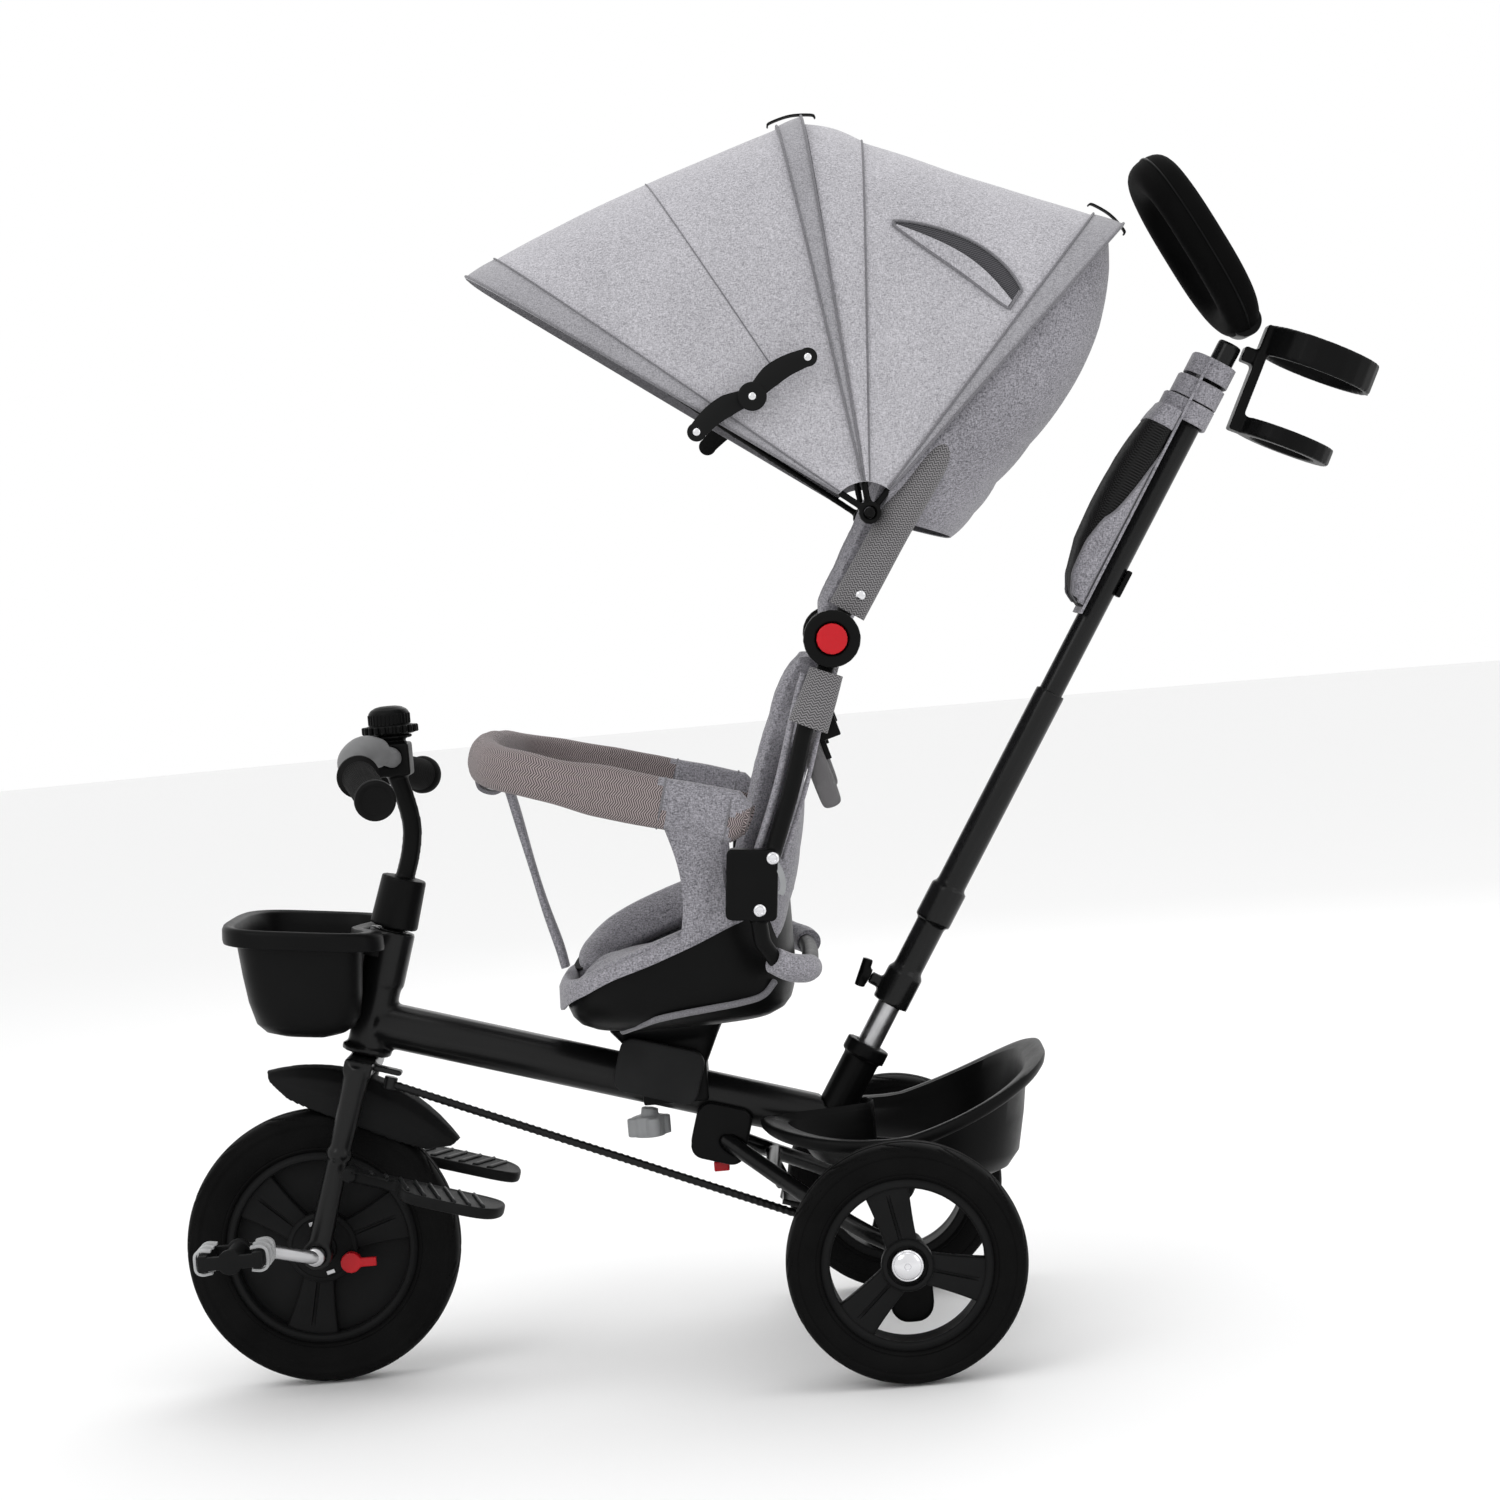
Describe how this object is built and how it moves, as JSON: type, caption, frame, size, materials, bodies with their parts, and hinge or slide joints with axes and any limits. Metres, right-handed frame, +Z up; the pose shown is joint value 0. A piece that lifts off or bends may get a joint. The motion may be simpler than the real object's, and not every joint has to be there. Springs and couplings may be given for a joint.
{
  "type": "children's tricycle",
  "caption": "Push-along children's tricycle with parent handle, folding hood, padded seat with safety bar, footrests and baskets.",
  "frame": {"origin": "on the ground, under the centre of the overall box", "axes": "+Z up; -X is the way it rides, towards the front wheel; Y across"},
  "size_m": [1.1478, 0.462, 1.0996],
  "materials": {
    "black_paint": "satin",
    "black_plastic": "fine grain",
    "grey_tube": "satin",
    "grey_plastic": "satin",
    "red_plastic": "satin",
    "chrome": "polished",
    "tyre": "matt",
    "grip_rubber": "matt",
    "grey_fabric": "melange weave",
    "mesh_fabric": "herringbone mesh",
    "black_fabric": "plain weave"
  },
  "bodies": {
    "frame": {"main_frame": "black_paint", "seat_post": "black_plastic", "post_cover": "black_plastic", "fold_latch": "black_plastic", "rear_frame": "black_paint", "handle_socket": "black_plastic", "rear_basket": "black_plastic", "front_basket": "black_plastic", "seat_shell": "black_plastic", "seat_pad": "grey_fabric", "back_frame_lower": "black_paint", "back_pad_lower": "grey_fabric"},
    "steering": {"fork": "black_paint", "stem": "black_plastic", "handlebar": "grey_tube", "grip_left": "grip_rubber", "grip_right": "grip_rubber", "mudguard": "black_plastic"},
    "bell": {"bell_dome": "black_plastic"},
    "front_wheel": {"front_tyre": "tyre", "front_rim": "black_plastic"},
    "clutch": {"clutch_knob": "red_plastic"},
    "crank": {"crank": "chrome"},
    "pedal_left": {"pedal_left": "black_plastic"},
    "pedal_right": {"pedal_right": "black_plastic"},
    "footrest_left": {"footrest_left": "black_plastic"},
    "footrest_right": {"footrest_right": "black_plastic"},
    "steering_rod": {"steering_rod": "black_paint"},
    "steer_lever": {"steer_lever": "black_paint"},
    "rear_wheel_left": {"rear_tyre_left": "tyre", "rear_rim_left": "black_plastic", "axle_cap_left": "chrome"},
    "rear_wheel_right": {"rear_tyre_right": "tyre", "rear_rim_right": "black_plastic", "axle_cap_right": "chrome"},
    "brake": {"brake_pedal": "black_plastic"},
    "seat_knob": {"seat_knob": "grey_plastic"},
    "latch_tab": {"latch_tab": "red_plastic"},
    "seat_back": {"back_frame_upper": "black_paint", "back_pad_upper": "grey_fabric", "hood_bow_rear": "black_plastic", "hood_panel_rear": "grey_fabric"},
    "recline_button_left": {"recline_button_left": "red_plastic"},
    "recline_button_right": {"recline_button_right": "red_plastic"},
    "hood_mid": {"hood_bow_mid": "black_plastic", "hood_panel_front": "grey_fabric"},
    "hood_front": {"hood_bow_front": "black_plastic"},
    "stays_front": {"stay_arm_front_left": "black_plastic", "stay_arm_front_right": "black_plastic"},
    "stays_mid": {"stay_arm_mid_left": "black_plastic", "stay_arm_mid_right": "black_plastic"},
    "safety_bar": {"safety_bar": "mesh_fabric"},
    "crotch_strap": {"crotch_strap": "mesh_fabric"},
    "push_handle": {"handle_post": "chrome", "handle_mid_tube": "black_paint"},
    "clamp_knob": {"clamp_knob": "black_plastic"},
    "handle_upper": {"handle_upper_tube": "black_paint", "cup_holder": "black_plastic", "handle_pouch": "black_fabric"},
    "loop_handle": {"loop_handle": "grip_rubber"}
  },
  "joints": [
    {"name": "steering_turn", "type": "hinge", "parent": "frame", "child": "steering", "pos_m": [-0.44888, 0, 0.125], "axis": [0.3007, 0, 0.9537], "range_deg": [-30, 30]},
    {"name": "front_wheel_spin", "type": "hinge", "parent": "steering", "child": "front_wheel", "pos_m": [-0.44888, 0, 0.125], "axis": [0, 1, 0], "continuous": true},
    {"name": "crank_turn", "type": "hinge", "parent": "steering", "child": "crank", "pos_m": [-0.44888, 0, 0.125], "axis": [0, 1, 0], "continuous": true},
    {"name": "pedal_left_spin", "type": "hinge", "parent": "crank", "child": "pedal_left", "pos_m": [-0.5104, 0, 0.14264], "axis": [0, 1, 0], "continuous": true},
    {"name": "pedal_right_spin", "type": "hinge", "parent": "crank", "child": "pedal_right", "pos_m": [-0.38736, 0, 0.10736], "axis": [0, 1, 0], "continuous": true},
    {"name": "clutch_turn", "type": "hinge", "parent": "front_wheel", "child": "clutch", "pos_m": [-0.42188, 0, 0.1115], "axis": [0, 1, 0], "range_deg": [0, 90]},
    {"name": "footrest_left_fold", "type": "hinge", "parent": "frame", "child": "footrest_left", "pos_m": [-0.40788, 0, 0.199], "axis": [0, -1, 0], "range_deg": [0, 70]},
    {"name": "footrest_right_fold", "type": "hinge", "parent": "frame", "child": "footrest_right", "pos_m": [-0.40788, 0, 0.199], "axis": [0, -1, 0], "range_deg": [0, 70]},
    {"name": "bell_ring", "type": "hinge", "parent": "steering", "child": "bell", "pos_m": [-0.34588, 0, 0.585], "axis": [0, 0, 1], "range_deg": [-25, 25], "stiffness_Nm_per_rad": 0.05},
    {"name": "steering_rod_swing", "type": "hinge", "parent": "steering", "child": "steering_rod", "pos_m": [-0.36884, -0.033, 0.27906], "axis": [0.3007, 0, 0.9537], "range_deg": [-30, 30]},
    {"name": "steer_lever_turn", "type": "hinge", "parent": "frame", "child": "steer_lever", "pos_m": [-0.01888, 0, 0.138], "axis": [0.3007, 0, 0.9537], "range_deg": [-30, 30]},
    {"name": "handle_turn", "type": "hinge", "parent": "frame", "child": "push_handle", "pos_m": [0.05532, 0, 0.2535], "axis": [0.5314, 0, 0.8471], "range_deg": [-30, 30]},
    {"name": "clamp_knob_turn", "type": "hinge", "parent": "push_handle", "child": "clamp_knob", "pos_m": [0.09252, 0, 0.3128], "axis": [-0.8471, 0, 0.5314], "range_deg": [0, 90]},
    {"name": "handle_height", "type": "slide", "parent": "push_handle", "child": "handle_upper", "axis": [0.5314, 0, 0.8471], "range_m": [-0.07, 0]},
    {"name": "loop_tilt", "type": "hinge", "parent": "handle_upper", "child": "loop_handle", "pos_m": [0.45412, 0, 0.889], "axis": [0, 1, 0], "range_deg": [-10, 30]},
    {"name": "rear_wheel_left_spin", "type": "hinge", "parent": "frame", "child": "rear_wheel_left", "pos_m": [0.07812, 0, 0.104], "axis": [0, 1, 0], "continuous": true},
    {"name": "rear_wheel_right_spin", "type": "hinge", "parent": "frame", "child": "rear_wheel_right", "pos_m": [0.07812, 0, 0.104], "axis": [0, 1, 0], "continuous": true},
    {"name": "brake_press", "type": "hinge", "parent": "frame", "child": "brake", "pos_m": [0.07812, 0, 0.104], "axis": [0, 1, 0], "range_deg": [0, 25]},
    {"name": "seat_knob_turn", "type": "hinge", "parent": "frame", "child": "seat_knob", "pos_m": [-0.14488, 0, 0.206], "axis": [0, 0, 1], "range_deg": [0, 90]},
    {"name": "latch_lift", "type": "slide", "parent": "frame", "child": "latch_tab", "axis": [0, 0, 1], "range_m": [0, 0.003]},
    {"name": "recline", "type": "hinge", "parent": "frame", "child": "seat_back", "pos_m": [0.06012, 0, 0.64], "axis": [0, 1, 0], "range_deg": [-29, 0]},
    {"name": "recline_button_left_press", "type": "slide", "parent": "frame", "child": "recline_button_left", "axis": [0, 1, 0], "range_m": [0, 0.003], "stiffness_N_per_m": 800},
    {"name": "recline_button_right_press", "type": "slide", "parent": "frame", "child": "recline_button_right", "axis": [0, -1, 0], "range_m": [0, 0.003], "stiffness_N_per_m": 800},
    {"name": "hood_mid_fold", "type": "hinge", "parent": "seat_back", "child": "hood_mid", "pos_m": [0.10212, 0, 0.745], "axis": [0, 1, 0], "range_deg": [0, 45], "deforming": ["hood_panel_rear"]},
    {"name": "hood_front_fold", "type": "hinge", "parent": "hood_mid", "child": "hood_front", "pos_m": [0.10212, 0, 0.745], "axis": [0, 1, 0], "range_deg": [0, 40], "deforming": ["hood_panel_front"]},
    {"name": "stays_front_fold", "type": "hinge", "parent": "hood_front", "child": "stays_front", "pos_m": [-0.03988, 0, 0.826], "axis": [0, 1, 0], "range_deg": [-45, 0]},
    {"name": "stays_mid_fold", "type": "hinge", "parent": "hood_mid", "child": "stays_mid", "pos_m": [0.06012, 0, 0.881], "axis": [0, 1, 0], "range_deg": [0, 155]},
    {"name": "safety_bar_lift", "type": "hinge", "parent": "frame", "child": "safety_bar", "pos_m": [-0.02888, 0, 0.497], "axis": [0, 1, 0], "range_deg": [0, 70]},
    {"name": "crotch_strap_hang", "type": "hinge", "parent": "safety_bar", "child": "crotch_strap", "pos_m": [-0.23688, 0, 0.506], "axis": [0, 1, 0], "range_deg": [-70, 0]}
  ],
  "couplings": [
    {"joint": "crank_turn", "follows": "front_wheel_spin", "ratio": 1},
    {"joint": "steering_rod_swing", "follows": "steering_turn", "ratio": -1},
    {"joint": "steer_lever_turn", "follows": "steering_turn", "ratio": 1},
    {"joint": "handle_turn", "follows": "steering_turn", "ratio": 1},
    {"joint": "stays_front_fold", "follows": "hood_front_fold", "ratio": -1.1244},
    {"joint": "stays_mid_fold", "follows": "hood_front_fold", "ratio": 3.8685},
    {"joint": "crotch_strap_hang", "follows": "safety_bar_lift", "ratio": -1}
  ]
}
